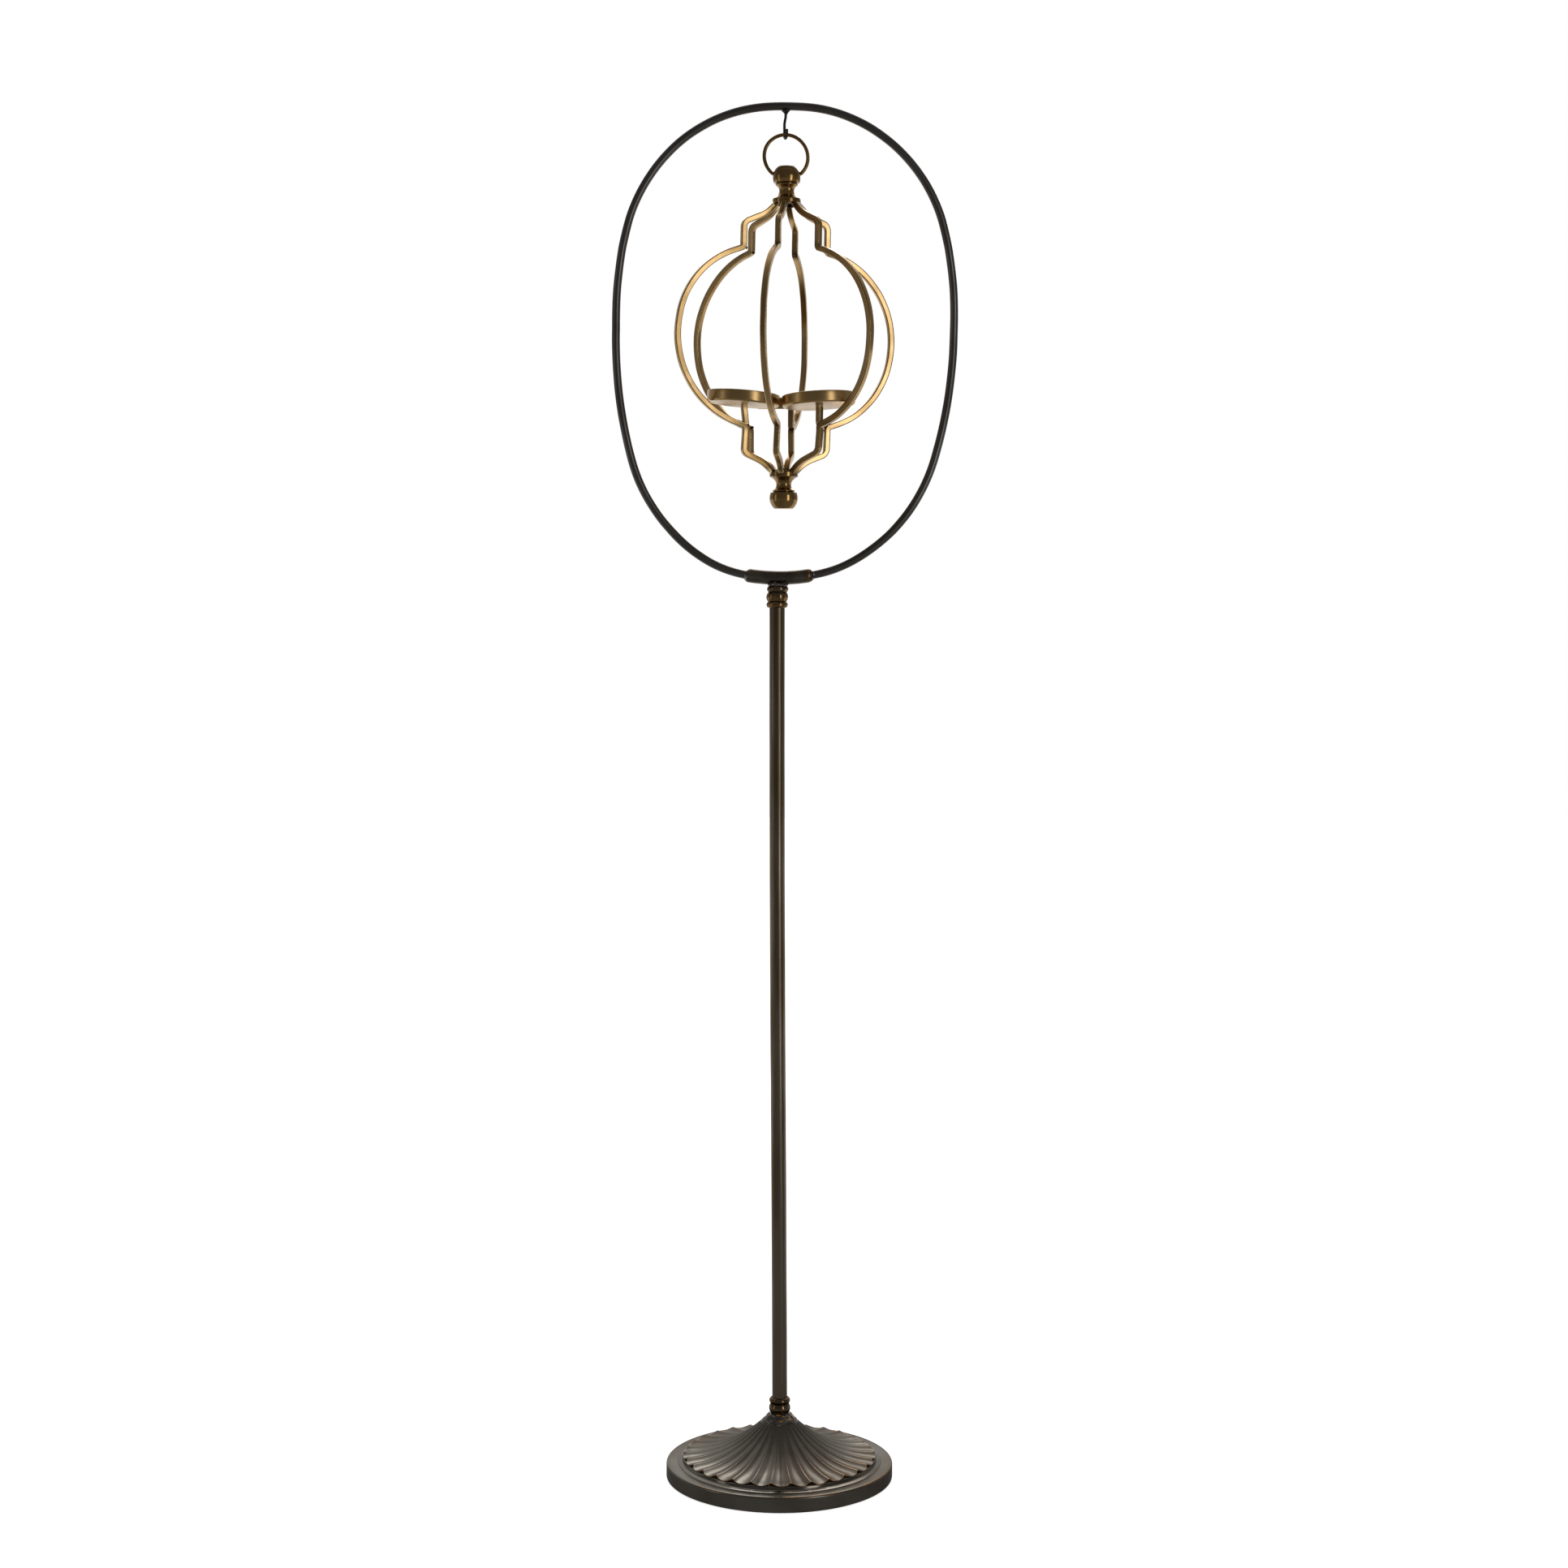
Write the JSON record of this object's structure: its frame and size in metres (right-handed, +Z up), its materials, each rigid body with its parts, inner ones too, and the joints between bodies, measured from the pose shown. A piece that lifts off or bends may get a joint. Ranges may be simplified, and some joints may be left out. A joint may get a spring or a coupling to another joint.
{
  "type": "lantern floor lamp",
  "caption": "Candle lantern on a floor stand: fluted round base, slim pole and an upright hoop with an open ribbed cage that hangs and swings in it.",
  "frame": {"origin": "middle of the underside of the base, on the floor", "axes": "+Z up along the pole, +X along the hoop's width, +Y away from the front"},
  "size_m": [0.3808, 0.254, 1.5238],
  "materials": {
    "base_felt": "dark felt",
    "cast_bronze_finish": "dark bronze, coppery on worn edges",
    "tube_bronze_finish": "mottled dark bronze, satin",
    "hoop_bronze_finish": "near black bronze, satin",
    "hook_iron": "black iron wire, worn grey at the bend",
    "braze_metal": "lumpy braze under dark finish with gold specks",
    "antique_brass": "antique brass, satin, darkened in the corners",
    "raw_iron": "raw iron",
    "zinc_steel": "zinc plated steel"
  },
  "bodies": {
    "stand": {"base_felt": "base_felt", "base_dome": "cast_bronze_finish", "base_weight": "raw_iron", "base_washer": "zinc_steel", "base_nut": "zinc_steel", "base_stud": "zinc_steel", "lower_collar": "cast_bronze_finish", "upper_collar": "cast_bronze_finish", "pole_tube": "tube_bronze_finish", "pole_lower_bush": "raw_iron", "pole_upper_bush": "raw_iron", "upper_stud": "zinc_steel", "lower_braze": "braze_metal", "hoop": "hoop_bronze_finish", "hoop_sleeve": "tube_bronze_finish", "sleeve_braze_left": "braze_metal", "sleeve_braze_right": "braze_metal", "upper_braze": "braze_metal", "hook": "hook_iron", "hook_weld": "braze_metal"},
    "ring": {"hanging_ring": "antique_brass"},
    "lantern": {"top_finial": "antique_brass", "bottom_finial": "antique_brass", "rib_1": "antique_brass", "rib_2": "antique_brass", "rib_3": "antique_brass", "rib_4": "antique_brass", "rib_5": "antique_brass", "rib_6": "antique_brass", "plate_stem_1": "antique_brass", "plate_stem_2": "antique_brass", "plate_stem_3": "antique_brass", "candle_plate_1": "antique_brass", "candle_plate_2": "antique_brass", "candle_plate_3": "antique_brass"}
  },
  "joints": [
    {"name": "ring_swing", "type": "hinge", "parent": "stand", "child": "ring", "pos_m": [0, 0, 1.48502], "axis": [0, 1, 0], "range_deg": [-18, 18]},
    {"name": "lantern_tilt", "type": "hinge", "parent": "ring", "child": "lantern", "pos_m": [0, 0, 1.44702], "axis": [1, 0, 0], "range_deg": [-90, 90]}
  ]
}
